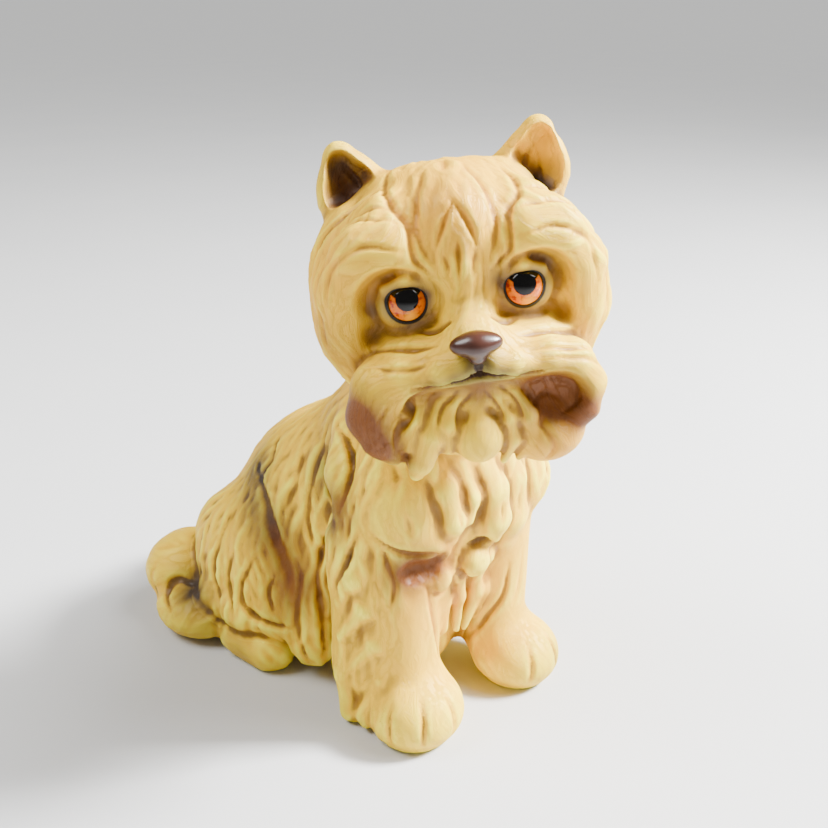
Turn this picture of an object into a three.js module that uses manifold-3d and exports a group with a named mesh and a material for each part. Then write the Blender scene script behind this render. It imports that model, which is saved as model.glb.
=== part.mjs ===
// A seated long-haired puppy in hollow slip-cast bisque, 130 mm tall. It is modelled as the castings that
// are luted together with slip before firing: torso, head, two ears, two forelegs, two hind feet and tail,
// with the glazed eyes and nose set into the head. Millimetres, +Z up. The puppy sits facing -Y, its left
// side is +X, and its head is turned towards its right shoulder. The origin is under the middle of the
// figure, on the surface that it sits on.
import * as THREE from "three";
import { mergeVertices } from "three/addons/utils/BufferGeometryUtils.js";
import Module from "manifold-3d";

const wasm = await Module();
wasm.setup();

// Driving dimensions
const wall = 4; // thickness of the slip-cast shell
const seam = 0.3; // gap left for slip between two castings
const ventRadius = 4; // firing vent in the seat
const neckHoleRadius = 6; // airway between the torso and the head
const eyeRadius = 4.4;
const eyeOut = 10.6; // from the face's centre line to each eye
const headHeight = 95; // of the head's centre above the seat
const headTurn = -38; // degrees about +Z, towards the right shoulder
const headLean = -7; // degrees, crown towards the right shoulder
const headLift = -5; // degrees, nose up
const ventPlace = [0, 26]; // x and y of the firing vent, under the belly
const neckPlace = [0, -4]; // x and y of the airway
const fineDetail = 9; // divisions of each icosahedron edge on a large casting's skin
const plainDetail = 6; // on a foreleg
const smallDetail = 4; // on an ear, the tail or a hollow
const leastDetail = 3; // on an eye, the nose, a foot or an ear's hollow

const degrees = THREE.MathUtils.degToRad;
const vector = (x, y, z) => new THREE.Vector3(x, y, z);
const sides = [
  ["right", -1],
  ["left", 1],
];

// ---- Modelling with clay: each lump is a function from a point to its distance outside the lump ----

function ball(centre, radii, turn = [0, 0, 0]) {
  const toBall = new THREE.Matrix4()
    .makeRotationFromEuler(new THREE.Euler(...turn.map(degrees), "ZYX"))
    .setPosition(...centre)
    .invert();
  const r = vector(...radii);
  return (point) => {
    const q = point.clone().applyMatrix4(toBall);
    const scaled = q.clone().divide(r).length();
    const slope = q.divide(r).divide(r).length() + 1e-9;
    return (scaled * (scaled - 1)) / slope;
  };
}

function limb(from, to, radiusFrom, radiusTo) {
  const start = vector(...from);
  const along = vector(...to).sub(start);
  return (point) => {
    const q = point.clone().sub(start);
    const t = THREE.MathUtils.clamp(q.dot(along) / along.lengthSq(), 0, 1);
    return q.addScaledVector(along, -t).length() - THREE.MathUtils.lerp(radiusFrom, radiusTo, t);
  };
}

// Lumps smoothed into each other; softness is the width of the blend.
function blend(softness, ...lumps) {
  return (point) =>
    lumps
      .map((lump) => lump(point))
      .reduce((a, b) => {
        const h = Math.max(softness - Math.abs(a - b), 0) / softness;
        return Math.min(a, b) - (h * h * softness) / 4;
      });
}

const grown = (lump, by) => (point) => lump(point) - by;
const above = (lump, height) => (point) => Math.max(lump(point), height - point.z);

// A sphere of triangles drawn in from outside, along lines to the centre, until it lies on the lump.
function wrapped(lump, centre, detail) {
  const reach = 90; // starts farther out than any lump
  const caution = 0.8; // share of the gap closed at each step
  const closeEnough = 0.005;
  const geometry = bare(new THREE.IcosahedronGeometry(1, detail));
  const position = geometry.getAttribute("position");
  const middle = vector(...centre);
  for (let i = 0; i < position.count; i++) {
    const outward = vector(0, 0, 0).fromBufferAttribute(position, i).normalize();
    let distance = reach;
    for (let step = 0; step < 80; step++) {
      const gap = lump(middle.clone().addScaledVector(outward, distance));
      distance -= gap * caution;
      if (Math.abs(gap) < closeEnough) break;
    }
    position.setXYZ(i, ...middle.clone().addScaledVector(outward, distance));
  }
  return geometry;
}

// ---- Joining and cutting ----

function bare(geometry) {
  geometry.deleteAttribute("normal");
  geometry.deleteAttribute("uv");
  return mergeVertices(geometry, 1e-4);
}

function solid(geometry, placedBy = new THREE.Matrix4()) {
  const g = bare(geometry.clone()).applyMatrix4(placedBy);
  return new wasm.Manifold(
    new wasm.Mesh({
      numProp: 3,
      vertProperties: new Float32Array(g.getAttribute("position").array),
      triVerts: new Uint32Array(g.index.array),
    }),
  );
}

// What is left of a solid after cuts, without loose crumbs.
function cut(piece, ...tools) {
  const left = tools.reduce((body, tool) => body.subtract(tool), piece);
  return left.decompose().reduce((a, b) => (a.volume() > b.volume() ? a : b));
}

const belowSeat = solid(new THREE.BoxGeometry(300, 300, 60).translate(0, 0, -30));

// An upright round cutter between two heights.
function post(radius, [x, y], bottom, top) {
  return solid(
    new THREE.CylinderGeometry(radius, radius, top - bottom, 24)
      .rotateX(Math.PI / 2)
      .translate(x, y, (bottom + top) / 2),
  );
}

function piece(name, shape, material) {
  const made = shape.getMesh();
  const geometry = new THREE.BufferGeometry();
  geometry.setAttribute("position", new THREE.BufferAttribute(made.vertProperties, 3));
  geometry.setIndex(new THREE.BufferAttribute(made.triVerts, 1));
  geometry.computeVertexNormals();
  const mesh = new THREE.Mesh(geometry, material);
  mesh.name = name;
  return mesh;
}

// ---- Materials ----

const bisque = new THREE.MeshStandardMaterial({ color: 0xdfbe82, roughness: 0.62, metalness: 0 });
const eyeGlaze = new THREE.MeshStandardMaterial({ color: 0x2a1a10, roughness: 0.08, metalness: 0 });
const noseGlaze = new THREE.MeshStandardMaterial({ color: 0x4a2a22, roughness: 0.3, metalness: 0 });

// ---- The puppy's clay, in its own frame: y 0 is between the forelegs and the belly ----

const torsoMiddle = [0, 14, 38];
const torsoClay = blend(
  8,
  ball([0, -8, 52], [21, 18, 26]), // chest
  ball([0, 24, 30.5], [26, 30, 29.5]), // barrel of the ribs
  limb([0, -3, 67], [0, 28, 32], 17, 20), // neck and back
  ball([0, 2, 24], [13, 15, 25]), // belly hair between the legs
  ball([-13, -12, 58], [11, 9, 12]), // shoulder hair
  ball([13, -12, 58], [11, 9, 12]),
  ball([-18, 34, 18], [14, 26, 22]), // haunches
  ball([18, 34, 18], [14, 26, 22]),
  ball([-21, 17, 12], [8, 8, 14]), // knee hair
  ball([21, 17, 12], [8, 8, 14]),
  ball([0, 58, 14], [16, 12, 19]), // rump
  ball([0, 36, 8], [25, 28, 14]), // flat seat
);

// The right foreleg carries more hair at its back than the left one.
const forelegMiddle = (side) => [side * 16, -11, 26];
const forelegClay = {
  right: blend(
    4,
    limb([-14.5, -10, 50], [-15.5, -13, 14], 11, 9),
    limb([-17, -5, 42], [-19, -6, 12], 10, 9),
    ball([-15.5, -18, 6.5], [10.5, 11.5, 9]),
  ),
  left: blend(
    4,
    limb([15, -9, 50], [13.5, -13, 14], 11, 8),
    limb([15, -5, 42], [15, -7, 12], 9, 8),
    ball([15.5, -18, 6.5], [10.5, 11.5, 9]),
  ),
};

const hindFootMiddle = (side) => [side * 26, 29, 6];
const hindFootClay = (side) => limb([side * 27.5, 36, 6], [side * 25.5, 22, 6], 6.5, 7.5);

const tailMiddle = [-24, 57, 8];
const tailClay = blend(5, ball([-22, 62, 9], [13, 12, 10.5]), ball([-28, 50, 6], [12, 15, 7.5]));

// ---- The head's clay, in the head's frame: its centre is the origin and the face looks along -Y ----

const headMiddle = [0, -4, -2];
const skullMiddle = [0, 2, 0];
const headClay = blend(
  4,
  blend(8, ball([0, 4, 4], [25, 23, 22]), ball([0, -7, 13], [13, 16, 13])), // skull and forehead
  ball([-18, -2, 3], [11, 14, 19]), // hair over the cheeks
  ball([18, -2, 3], [11, 14, 19]),
  ball([-14, -17, 10], [8, 6.5, 4.5], [0, -10, 0]), // brows
  ball([14, -17, 10], [8, 6.5, 4.5], [0, 10, 0]),
  ball([0, -20, -6.5], [10, 10, 7.5]), // muzzle
  ball([-14.5, -16.5, -16], [9.5, 10, 8.5], [0, -10, 0]), // moustache
  ball([14.5, -16.5, -16], [9.5, 10, 8.5], [0, 10, 0]),
  ball([0, -13, -22], [15, 12, 8.5]), // beard
);

const earMiddle = (side) => [side * 17.5, 4, 23];
const earTurn = (side) => [0, side * 16, side * -15];
const earClay = (side) => ball(earMiddle(side), [7.5, 4.5, 10], earTurn(side));
const earHollowMiddle = (side) => [side * 17.5, -0.5, 24];
const earHollow = (side) => ball(earHollowMiddle(side), [4.8, 4.2, 6.5], earTurn(side));
const eyeMiddle = (side) => [side * eyeOut, -15.8, 4];
const eyeClay = (side) => ball(eyeMiddle(side), [eyeRadius, eyeRadius, eyeRadius]);
const noseMiddle = [0, -28.6, -3];
const noseClay = ball(noseMiddle, [4.9, 3.2, 3.3]);

// ---- Castings; a piece is cut by its neighbour's fit: the neighbour whole, and larger by the seam ----

function torsoCasting() {
  const outside = solid(wrapped(torsoClay, torsoMiddle, fineDetail));
  const cavity = solid(wrapped(above(grown(torsoClay, -wall), wall), torsoMiddle, smallDetail));
  const vent = post(ventRadius, ventPlace, -5, 20);
  const neckHole = post(neckHoleRadius, neckPlace, 70, 90);
  return cut(outside, cavity, vent, neckHole, belowSeat);
}

const torsoSkin = wrapped(grown(torsoClay, seam), torsoMiddle, fineDetail);
const torsoFit = solid(torsoSkin);

const puppy = new THREE.Group();
puppy.add(piece("torso_casting", torsoCasting(), bisque));

const head = new THREE.Group();
head.position.set(-2, -15, headHeight);
head.rotation.set(degrees(headLift), degrees(headLean), degrees(headTurn), "ZYX");
head.updateMatrix();
puppy.add(head);

function headCasting() {
  const outside = solid(wrapped(headClay, headMiddle, fineDetail));
  const cavity = solid(wrapped(grown(headClay, -wall), skullMiddle, smallDetail));
  const torso = solid(torsoSkin, head.matrix.clone().invert());
  const eyes = sides.map(([, side]) =>
    solid(wrapped(grown(eyeClay(side), seam), eyeMiddle(side), leastDetail)),
  );
  const noseFit = solid(wrapped(grown(noseClay, seam), noseMiddle, leastDetail));
  return cut(outside, cavity, torso, ...eyes, noseFit);
}

head.add(piece("head_casting", headCasting(), bisque));
const headFit = solid(wrapped(grown(headClay, seam), headMiddle, fineDetail));

for (const [name, side] of sides) {
  const ear = solid(wrapped(earClay(side), earMiddle(side), smallDetail));
  const hollow = solid(wrapped(earHollow(side), earHollowMiddle(side), leastDetail));
  head.add(piece(name + "_ear", cut(ear, hollow, headFit), bisque));
  const eye = solid(wrapped(eyeClay(side), eyeMiddle(side), leastDetail));
  head.add(piece(name + "_eye", eye, eyeGlaze));
}
head.add(piece("nose", solid(wrapped(noseClay, noseMiddle, leastDetail)), noseGlaze));

for (const [name, side] of sides) {
  const foreleg = solid(wrapped(forelegClay[name], forelegMiddle(side), plainDetail));
  puppy.add(piece(name + "_foreleg", cut(foreleg, torsoFit, belowSeat), bisque));
}
for (const [name, side] of sides) {
  const foot = solid(wrapped(hindFootClay(side), hindFootMiddle(side), leastDetail));
  puppy.add(piece(name + "_hind_foot", cut(foot, torsoFit, belowSeat), bisque));
}
const tail = solid(wrapped(tailClay, tailMiddle, smallDetail));
const footFit = solid(wrapped(grown(hindFootClay(-1), seam), hindFootMiddle(-1), leastDetail));
puppy.add(piece("tail", cut(tail, torsoFit, footFit, belowSeat), bisque));

// The origin moves under the middle of the figure.
const extent = new THREE.Box3().setFromObject(puppy, true);
const middle = extent.getCenter(new THREE.Vector3());
puppy.position.set(-middle.x, -middle.y, -extent.min.z);

const figurine = new THREE.Group();
figurine.add(puppy);
export default figurine;
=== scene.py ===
import math
import bpy
import numpy as np
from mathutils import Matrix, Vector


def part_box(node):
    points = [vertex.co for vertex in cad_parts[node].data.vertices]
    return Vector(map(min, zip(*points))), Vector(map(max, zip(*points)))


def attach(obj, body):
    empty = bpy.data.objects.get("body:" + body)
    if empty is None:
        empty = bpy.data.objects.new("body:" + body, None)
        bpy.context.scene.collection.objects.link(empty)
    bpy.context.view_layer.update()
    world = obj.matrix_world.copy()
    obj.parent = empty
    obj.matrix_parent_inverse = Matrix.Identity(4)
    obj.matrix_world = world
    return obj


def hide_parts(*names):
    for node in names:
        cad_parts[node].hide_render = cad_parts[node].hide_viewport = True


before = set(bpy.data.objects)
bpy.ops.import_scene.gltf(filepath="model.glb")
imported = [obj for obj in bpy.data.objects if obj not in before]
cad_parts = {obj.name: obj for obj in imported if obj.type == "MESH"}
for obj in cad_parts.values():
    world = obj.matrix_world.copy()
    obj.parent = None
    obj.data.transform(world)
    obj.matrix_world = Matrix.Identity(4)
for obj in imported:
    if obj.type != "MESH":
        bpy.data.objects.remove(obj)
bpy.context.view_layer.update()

import openvdb
from mathutils import Matrix, Vector

# A seated puppy in slip-cast bisque. Each casting is sculpted as clay in millimetres, in the puppy's own
# frame: it sits facing -y, its left side is +x, and z 0 is the shelf. The hair is combed over it afterwards.

mm = 0.001
rng = np.random.default_rng(7)


def nodeBox(node):
    low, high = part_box(node)
    return np.array(low) / mm, np.array(high) / mm


def nodeMiddle(node):
    return sum(nodeBox(node)) / 2


pawFront = -29.5  # y of the foremost point of the paws, in the puppy's own frame
legLow = nodeBox("right_foreleg")[0]
torsoLow, torsoHigh = nodeBox("torso_casting")
shift = np.array([(torsoLow[0] + torsoHigh[0]) / 2, legLow[1] - pawFront, 0.0])

# The head's frame: its origin is the middle of the skull, the face looks along -y.
eyePlace = np.array([10.6, -15.8, 4.0])
nosePlace = np.array([0.0, -28.6, -3.0])


def frameFrom(across, forward):
    across = across / np.linalg.norm(across)
    forward = forward / np.linalg.norm(forward)
    return np.stack([across, forward, np.cross(across, forward)], axis=1)


eyeRight = nodeMiddle("right_eye") - shift
eyeLeft = nodeMiddle("left_eye") - shift
eyesMiddle = (eyeRight + eyeLeft) / 2
noseMiddle = nodeMiddle("nose") - shift
inHead = frameFrom(np.array([1.0, 0, 0]), nosePlace - [0, eyePlace[1], eyePlace[2]])
headTurn = frameFrom(eyeLeft - eyeRight, noseMiddle - eyesMiddle) @ inHead.T
headOrigin = eyesMiddle - headTurn @ [0, eyePlace[1], eyePlace[2]]


def toHead(points):
    return (points - headOrigin) @ headTurn


def fromHead(points):
    return np.asarray(points, float) @ headTurn.T + headOrigin


# A lump of clay is (centre, reach, distance function).
def turned(turn):
    x, y, z = (math.radians(a) for a in turn)
    return np.array(Matrix.Rotation(z, 3, "Z") @ Matrix.Rotation(y, 3, "Y") @ Matrix.Rotation(x, 3, "X"))


def ball(centre, radii, turn=(0, 0, 0)):
    c = np.array(centre, float)
    r = np.array(radii, float)
    spin = turned(turn)

    def away(p):
        q = (p - c) @ spin
        scaled = np.sqrt(((q / r) ** 2).sum(1))
        slope = np.sqrt(((q / r**2) ** 2).sum(1)) + 1e-9
        return scaled * (scaled - 1) / slope
    return c, r.max(), away


def limb(start, end, startRadius, endRadius):
    a = np.array(start, float)
    along = np.array(end, float) - a
    length2 = along @ along

    def away(p):
        q = p - a
        t = np.clip(q @ along / length2, 0, 1)
        return np.sqrt(((q - t[:, None] * along) ** 2).sum(1)) - (startRadius + t * (endRadius - startRadius))
    return a + along / 2, math.sqrt(length2) / 2 + max(startRadius, endRadius), away


def chain(*stops):  # limbs end to end through (point, radius) stops
    return [limb(a, b, ra, rb) for (a, ra), (b, rb) in zip(stops, stops[1:])]


def softMin(a, b, softness):
    h = np.maximum(softness - np.abs(a - b), 0) / softness
    return np.minimum(a, b) - h * h * softness / 4


far = 9.0  # mm, a distance past which no lump matters


lumpReach = 5.0  # mm past a lump's own reach in which it still pulls on its neighbours


def worked(points, steps):
    value = np.full(len(points), far)
    for verb, softness, lumps in steps:
        for centre, reach, away in lumps:
            near = ((points - centre) ** 2).sum(1) < (reach + lumpReach) ** 2
            if near.any():
                d = away(points[near])
                was = value[near]
                value[near] = softMin(was, d, softness) if verb == "add" else -softMin(-was, d, softness)
    return value


def mirrored(make):  # the same clay on both sides
    return [lump for side in (-1, 1) for lump in make(side)]


torsoSteps = [
    ("add", 8, [
        ball((0, -8, 52), (19.5, 15, 26)),  # chest
        ball((0, 24, 30.5), (25, 29.5, 29)),  # barrel
        limb((0, -3, 67), (0, 28, 32), 16.6, 19.6),  # neck and back
        ball((0, 2, 24), (12.5, 14.5, 25)),  # belly hair
        ball((0, 36, 8), (23.5, 27.5, 13.5)),  # flat seat
        ball((0, 58, 14), (15.5, 11.5, 18.5)),  # rump
    ]),
    ("add", 6, mirrored(lambda side: [
        ball((side * 13, -12, 58), (10.5, 7.5, 11.5)),  # shoulder hair
        ball((side * 18, 34, 21), (13.8, 24.5, 18.5)),  # haunch
    ])),
    ("add", 3, mirrored(lambda side: [
        ball((side * 19.6, 13, 17), (7, 6.4, 14)),  # knee hair
        *chain(((side * 21, 51, 11), 5), ((side * 26.6, 41, 12.4), 5.4), ((side * 26.8, 29, 13.6), 5.6),
               ((side * 24.6, 19.5, 15.5), 5)),  # skirt of hair over the foot
    ])),
    ("add", 3, [
        ball((17.5, -14, 50), (8.5, 7.5, 8)),  # hair over the left shoulder
        *chain(((-15, 3, 66), 3.6), ((-19.4, -1, 57), 4.2), ((-21.6, -3, 51), 1.8)),  # and over the right one
    ]),
    ("add", 1.1, [  # pads of hair on the chest, the upper over the lower
        ball((-17, -15.8, 54), (7.8, 6.4, 9.2)),
        *chain(((-16.4, -16.8, 50.6), 6), ((-12.6, -19.2, 46.4), 3.8), ((-10.2, -20.2, 43.4), 1.9)),
        *chain(((-13, -17, 64), 3.2), ((-11, -19.8, 57.5), 4), ((-9.4, -21, 50.5), 4),
               ((-9, -21, 46.4), 2.2)),
        *chain(((-6, -20.6, 62), 2.2), ((-4.8, -22.4, 54.6), 2.6), ((-5.6, -22.6, 50), 1.8)),
        *chain(((-1.6, -20, 62), 3.2), ((1.4, -21.4, 54), 4.6), ((2.4, -21.2, 47.4), 5),
               ((2.4, -20.8, 43.6), 3.6)),
        *chain(((6, -18.6, 62), 4), ((9, -18.4, 53), 5.2), ((10, -18, 44), 5.6), ((9, -17.6, 39.4), 3.8)),
        ball((-10, -19.6, 36.6), (2.6, 2.6, 2.5)),
        ball((-1.4, -20.4, 38), (4.2, 3.8, 4.2)),
        *chain(((-5.4, -19, 41.6), 1.8), ((-6, -19.4, 38), 1.6), ((-4.6, -18.8, 33.6), 1.2)),
        *chain(((4, -18.6, 41), 1.8), ((4.4, -18.8, 36), 1.9), ((2.6, -18, 31), 1.2)),
        *chain(((-8.6, -18, 34), 1.8), ((-6.4, -16.6, 28), 1.9), ((-4.4, -15, 19), 0.9)),
        *chain(((-3, -17.6, 33), 2), ((-1.6, -16.2, 27), 2), ((-0.4, -14.6, 17), 0.9)),
        *chain(((2.6, -17, 32), 2), ((4, -15.8, 26), 1.9), ((2.6, -14, 16), 0.9)),
    ]),
]

forelegSteps = {
    -1: [
        ("add", 4, [
            limb((-14.5, -10, 50), (-15.5, -13, 14), 10.4, 8.6),
            limb((-17, -5, 42), (-18.6, -6, 12), 9, 8),
            ball((-15.5, -18.3, 6.5), (10.2, 11.2, 8.8)),
            ball((-19.4, -19.4, 5.6), (6.8, 7.6, 6.6)),
        ]),
        ("add", 0.8, [  # feathering down the back of the leg
            *chain(((-22.6, -12, 45), 1.4), ((-24.4, -9.4, 38), 2.6), ((-25.6, -5, 30), 1)),
            *chain(((-20.6, -15, 39), 1.4), ((-23.6, -11.6, 31), 2.9), ((-26.2, -5.6, 22), 1)),
            *chain(((-19.4, -17, 31), 1.3), ((-22.4, -13.4, 23), 3), ((-26, -6.4, 13), 1.1)),
            *chain(((-24, -6, 22), 2), ((-24.6, -5.4, 12), 2.8), ((-24, -7, 3), 3)),
            *chain(((-18.6, -18, 23), 1.2), ((-21.6, -14.6, 14), 2.8), ((-23.4, -11.4, 4), 3.2)),
        ]),
    ],
    1: [
        ("add", 4, [
            limb((15, -9, 50), (13.5, -13, 14), 10.4, 7.6),
            limb((15, -5, 42), (15, -7, 12), 8.4, 7.6),
            ball((15.5, -18.3, 6.5), (10.4, 11.2, 8.8)),
        ]),
    ],
}


def hindFootSteps(side):
    return [("add", 2.5, chain(((side * 27.2, 31.5, 4.8), 5.8), ((side * 25.4, 23.5, 5), 6.6)))]


tailSteps = [
    ("add", 2, [
        ball((-24.5, 60.4, 10.6), (12.2, 11.8, 9.8)),
        ball((-28.4, 49, 5.8), (11.4, 13.4, 6.8)),
    ]),
]

# The head is modelled in its own frame, upright and facing -y.
headSteps = [
    ("add", 8, [
        ball((0, 4, 4), (24.6, 22.6, 21.6)),  # skull
        ball((0, -7, 13), (12.6, 14, 12.6)),  # forehead
    ]),
    ("add", 4, mirrored(lambda side: [
        ball((side * 18, -2, 2 - side), (10.4, 13, 17.6 - side)),  # hair on the cheeks
        ball((side * 9, 2, 20.5), (8, 9, 5)),  # crown beside the ear
    ])),
    ("add", 3, mirrored(lambda side: [
        ball((side * 11.6, -10.6, 15.4), (7.6, 8.6, 7.4)),  # forehead above the brow
    ])),
    ("add", 4, mirrored(lambda side: chain(  # brow, down round the socket to the cheek
        ((side * 7.6, -16.8, 11.2), 2.8), ((side * 12, -17.4, 13.4), 4.3), ((side * 17.2, -16, 12.4), 5),
        ((side * 21.2, -12.8, 6.4), 4.8), ((side * 21.6, -10.6, -2), 4.2), ((side * 19, -9.4, -9), 3),
    ))),
    ("carve", 1, mirrored(lambda side: [  # sockets
        ball((side * 13.4, -22.8, 3.2), (7.9, 8.6, 7.5), (0, side * 16, 0)),
        ball((side * 16.8, -21, -2.6), (4.4, 6.6, 5.8)),
    ])),
    ("add", 3.5, [
        ball((0, -19.5, -7), (10, 9, 6.6)),  # muzzle
        limb((0, -15, 3), (0, -22.6, -3), 4.4, 4.2),  # bridge
        ball((0, -11.5, -21), (13, 9.5, 7.6)),  # beard
        *mirrored(lambda side: [ball((side * 9.6, -14.8, -9), (9.6, 8.4, 7.6))]),  # cheek under the eye
    ]),
    ("add", 1.8, [
        ball((0, -13.6, 16), (9.2, 8.6, 8.6)),  # the lock that falls between the brows
        *chain(((0, -15.4, 13), 6.9), ((-0.4, -18.4, 8.6), 3.9), ((-0.8, -19.6, 5.4), 1.8)),
    ]),
    ("add", 1.2, mirrored(lambda side: [
        ball((side * eyePlace[0], -15.2, 3.8), (6.2, 4.4, 5.6)),  # lids
        *chain(((side * 7, -18.4, 6.6), 0.9), ((side * 10.6, -19.3, 8.2), 1.2),
               ((side * 14.4, -17.6, 6.8), 1)),
    ])),
    ("add", 3, [  # cheeks behind the moustache
        ball((-13.6, -18.2, -18.4), (4, 3.6, 5)), ball((12.4, -15.6, -23.8), (8, 6.8, 7)),
        ball((13.5, -13.5, -15), (8.5, 7, 8)), ball((-11, -14, -16), (8.5, 7, 7)),
    ]),
    # the moustache, whose left end curls forward
    ("add", 1.4, chain(((-7, -22, -8.8), 3), ((-12.5, -20.4, -9.4), 4.6), ((-17.4, -18.2, -11.8), 5.8),
                       ((-19.2, -17.4, -16.6), 5.6), ((-18.4, -17.6, -21), 4.2), ((-16.6, -18, -24.2), 2.4))),
    ("add", 1.4, chain(((7, -22, -8.8), 3), ((13, -20.6, -9), 4.2), ((17.6, -19.2, -11), 4.6),
                       ((20, -18.4, -15.4), 4.2), ((19.4, -18.2, -20), 3.2), ((16.6, -19, -23), 2.2))),
    ("carve", 0.8, [ball((14.4, -25.2, -16.4), (7, 5.4, 5), (0, 12, 0))]),  # the curl's hollow
    ("add", 0.6, [  # tufts of the beard
        *chain(((-9.4, -21, -12), 2), ((-12, -20.8, -17), 2.4), ((-13.6, -20, -22.6), 1.6)),
        *chain(((-6.8, -21, -14.6), 2.4), ((-9.2, -20.6, -20.6), 3.1), ((-12, -18.8, -26.4), 2.8),
               ((-13, -18, -28.6), 1.8)),
        *chain(((-4.2, -22, -14), 1.8), ((-5.8, -21.8, -18.8), 2.4), ((-6.6, -20.6, -23.8), 1.5)),
        *chain(((-0.8, -22.2, -15), 1.6), ((-0.8, -21.8, -18.4), 3)),
        ball((-0.8, -20.4, -21.8), (5.3, 5, 5.8)),
        *chain(((2.8, -22.2, -14.4), 1.5), ((5, -21.8, -19), 1.9), ((5.6, -20.6, -23.6), 1.9),
               ((3.6, -19, -28), 1.1)),
        *chain(((5.8, -22, -13.8), 1.7), ((8.6, -21.2, -19), 2.3), ((9, -19.6, -24), 2.2),
               ((6.6, -18.2, -28.2), 1.1)),
    ]),
    ("add", 2, [ball((0, -20, -13.2), (8, 4.6, 4))]),  # chin
    ("add", 0.9, mirrored(lambda side: chain(((side * 2.5, -26, -7.2), 3.1), ((side * 6, -24.9, -8), 2.9),
                                             ((side * 10, -22.6, -9), 2.4)))),  # lips
]

noseSteps = [
    ("add", 1.4, [
        ball((0, -28.3, -2.9), (4.7, 2.8, 2.2)),
        limb((0, -28.6, -3.4), (0, -28.3, -5.1), 2.4, 1.5),
    ]),
    ("carve", 0.5, mirrored(lambda side: [ball((side * 3, -31.1, -4.9), (1.2, 1.5, 0.8),
                                               (0, side * 25, 0))])),
]


def earSteps(side):
    turn = (0, side * 16, side * -15)
    steps = [
        ("add", 3, [
            ball((side * 17.5, 4, 21.5), (7.6, 4.4, 9), turn),
            *chain(((side * 18, 4, 24), 5.6), ((side * 19.4, 4.2, 29.6), 3.2)),
        ]),
        ("carve", 0.8, [
            ball((side * 17.4, -1.4, 22.6), (5.6, 5.4, 7), turn),
            ball((side * 18.9, -0.6, 27), (3.2, 3.8, 4.2), turn),
        ]),
    ]
    if side > 0:
        steps.append(("carve", 0.8, [ball((24.6, 3, 29.4), (1.6, 4, 1.4))]))  # a nick in the left ear's edge
    return steps


# Each casting as (mm over which it is luted on, its clay, whether it is made in the head's frame).
castings = {
    "torso": (8, torsoSteps, False),
    "rightForeleg": (4, forelegSteps[-1], False),
    "leftForeleg": (4, forelegSteps[1], False),
    "rightHindFoot": (1, hindFootSteps(-1), False),
    "leftHindFoot": (1, hindFootSteps(1), False),
    "tail": (2, tailSteps, False),
    "head": (1.6, headSteps, True),
    "rightEar": (2, earSteps(-1), True),
    "leftEar": (2, earSteps(1), True),
}
nodeOf = {
    "torso": "torso_casting", "rightForeleg": "right_foreleg", "leftForeleg": "left_foreleg",
    "rightHindFoot": "right_hind_foot", "leftHindFoot": "left_hind_foot", "tail": "tail",
    "head": "head_casting", "rightEar": "right_ear", "leftEar": "left_ear",
}

# Cut under the pads of hair once the castings are together.
undercuts = [
    ball((-17.8, -22.8, 40.6), (6.2, 4.8, 3.2), (0, 10, 0)),
    ball((-13.4, -22.8, 41.6), (3, 2.6, 1.8), (0, -20, 0)),
    ball((-6.6, -24.2, 43), (2, 2.2, 1.6)),
    ball((4.6, -22.6, 39.4), (2.4, 2.4, 1.8)),
]


def own(part, points):  # distance to one casting's clay
    _, steps, onHead = castings[part]
    return worked(toHead(points) if onHead else points, steps)


def whole(points):  # distance to all the clay, luted together
    value = own("torso", points)
    for part, (softness, _, _) in castings.items():
        if part != "torso":
            value = softMin(value, own(part, points), softness)
    for centre, reach, away in undercuts:
        near = ((points - centre) ** 2).sum(1) < (reach + lumpReach) ** 2
        value[near] = -softMin(-value[near], away(points[near]), 1)
    return np.maximum(value, -points[:, 2])  # flat on the shelf


def slope(field, points, probe=0.25):  # which way the distance grows, which on the skin is straight out
    g = np.stack([field(points + step) - field(points - step) for step in np.eye(3) * probe], axis=1)
    return g / (np.linalg.norm(g, axis=1, keepdims=True) + 1e-9)


# A field of distances is cast as a closed mesh of small quads.
casting = {
    "pitchBody": 0.7,  # mm between the mesh's points
    "pitchHead": 0.5,
    "block": 4,  # points along the side of the blocks that are looked at first
    "band": 4.0,  # mm either side of the skin in which distances are kept
    "skinBand": 2.0,  # mm either side of it in which a block is worked out point by point
    "lap": 3.5,  # mm that a casting runs on under its neighbour
    "feather": 2.2,  # mm of the lap over which it dives
    "dive": 0.8,
    "sink": 0.08,  # mm that the lap lies under the neighbour's skin
    "sole": 1.5,  # mm above the shelf over which the hair starts to stand up
}


def cast(field, low, high, pitch):
    block, band = casting["block"], casting["band"]
    base = np.floor(np.array(low) / pitch / block) * block
    size = np.ceil((np.array(high) / pitch - base) / block).astype(int) + 1
    blocks = np.indices(size).reshape(3, -1).T * block + base + (block - 1) / 2
    rough = field(blocks * pitch)
    values = np.clip(rough, -band, band).reshape(size)
    for axis in range(3):
        values = np.repeat(values, block, axis)
    close = np.abs(rough) < casting["skinBand"] + pitch * block
    fine = np.indices((block,) * 3).reshape(3, -1).T - (block - 1) / 2
    points = (blocks[close][:, None] + fine[None]).reshape(-1, 3)
    index = np.rint(points - base).astype(int)
    values[index[:, 0], index[:, 1], index[:, 2]] = field(points * pitch)
    grid = openvdb.FloatGrid(band)
    grid.copyFromArray(values.astype(np.float32))
    verts, quads = grid.convertToQuads(0.0)
    return (verts + base) * pitch, quads


def boxCorners(low, high):
    return np.array([[x, y, z] for x in (low[0], high[0]) for y in (low[1], high[1]) for z in (low[2],
                                                                                               high[2])])


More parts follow.
